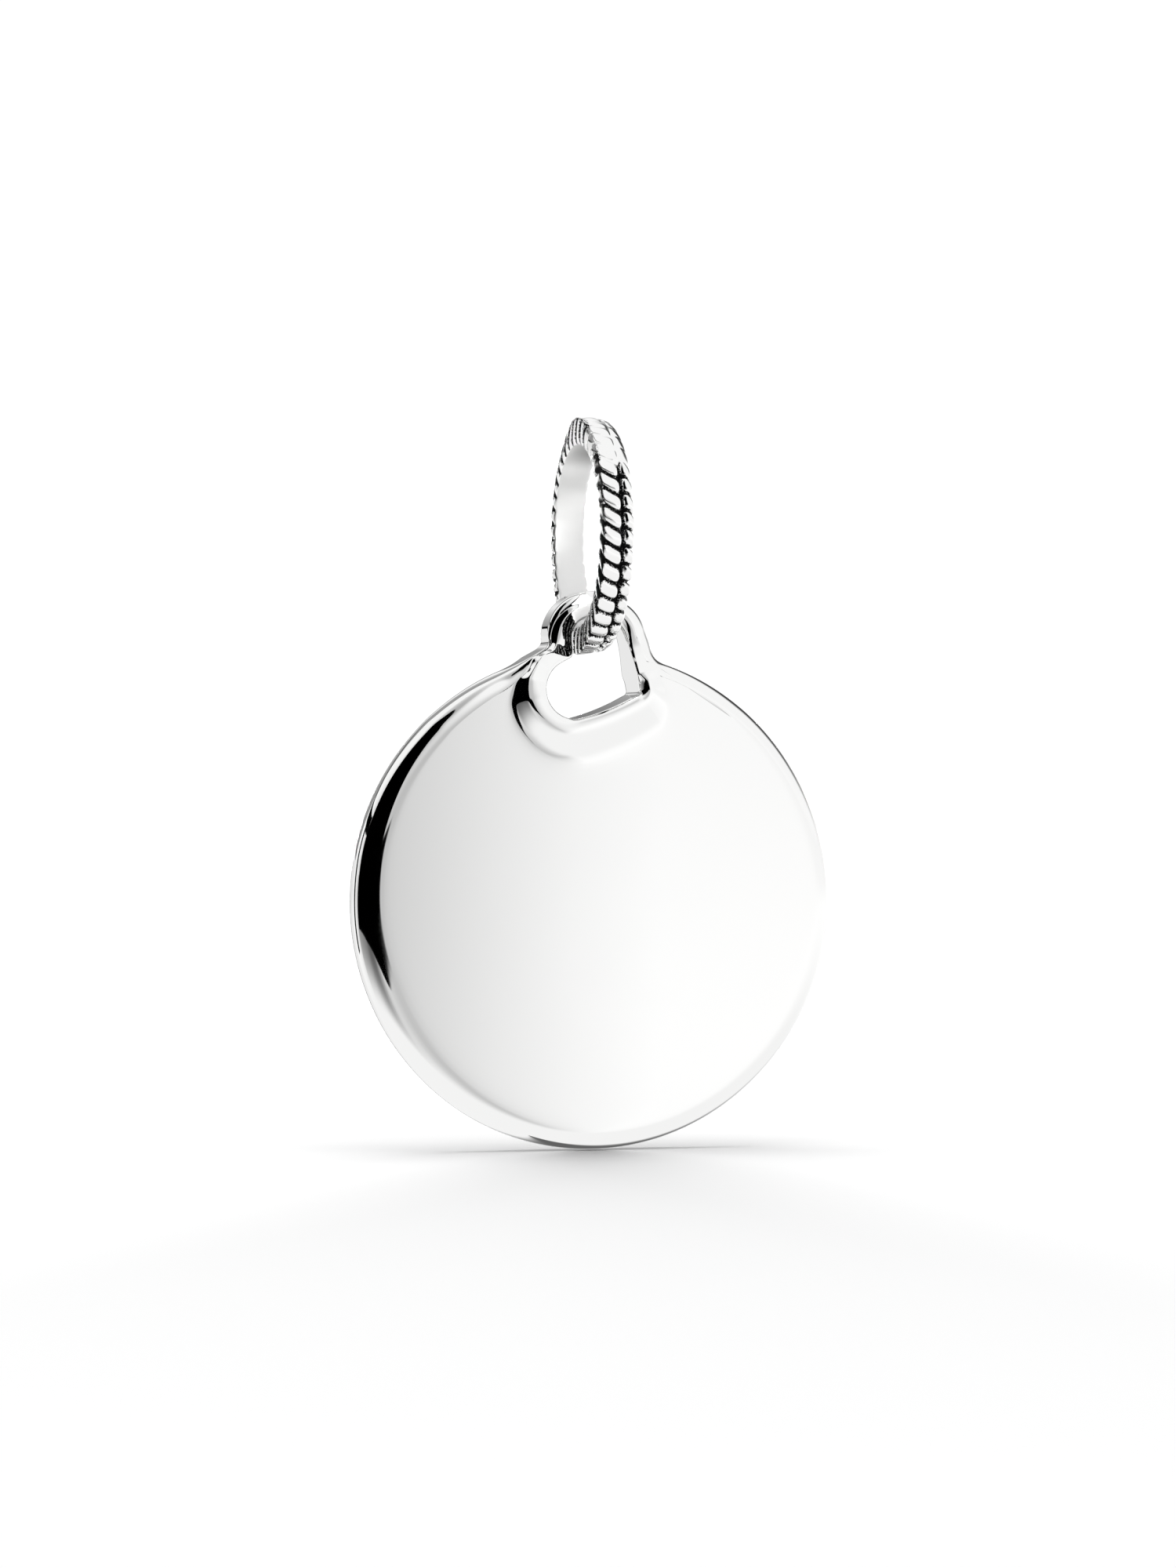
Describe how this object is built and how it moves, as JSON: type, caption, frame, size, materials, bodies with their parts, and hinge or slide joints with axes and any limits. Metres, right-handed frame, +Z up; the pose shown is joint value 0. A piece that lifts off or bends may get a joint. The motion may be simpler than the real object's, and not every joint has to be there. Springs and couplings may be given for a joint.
{
  "type": "disc pendant with bail ring",
  "caption": "Round polished silver disc pendant with a heart shaped loop cast into its upper edge and a rope edged bail ring through the loop for a chain.",
  "frame": {"origin": "top of the bail ring's inner band, where the chain bears, in the middle of the band", "axes": "+Z is up as it hangs, the disc's front face looks along -Y, and +X is to the right of someone looking at that face. The ring's axis is X."},
  "size_m": [0.02, 0.0094, 0.0294],
  "materials": {
    "polished_silver": "mirror polished sterling silver",
    "oxidised_silver": "polished sterling silver with blackened grooves"
  },
  "bodies": {
    "bail": {"bail_ring": "oxidised_silver"},
    "pendant": {"pendant_disc": "polished_silver"}
  },
  "joints": [
    {"name": "disc_swing", "type": "hinge", "parent": "bail", "child": "pendant", "pos_m": [0, 0, -0.00642], "axis": [1, 0, 0], "range_deg": [-75, 75]}
  ]
}
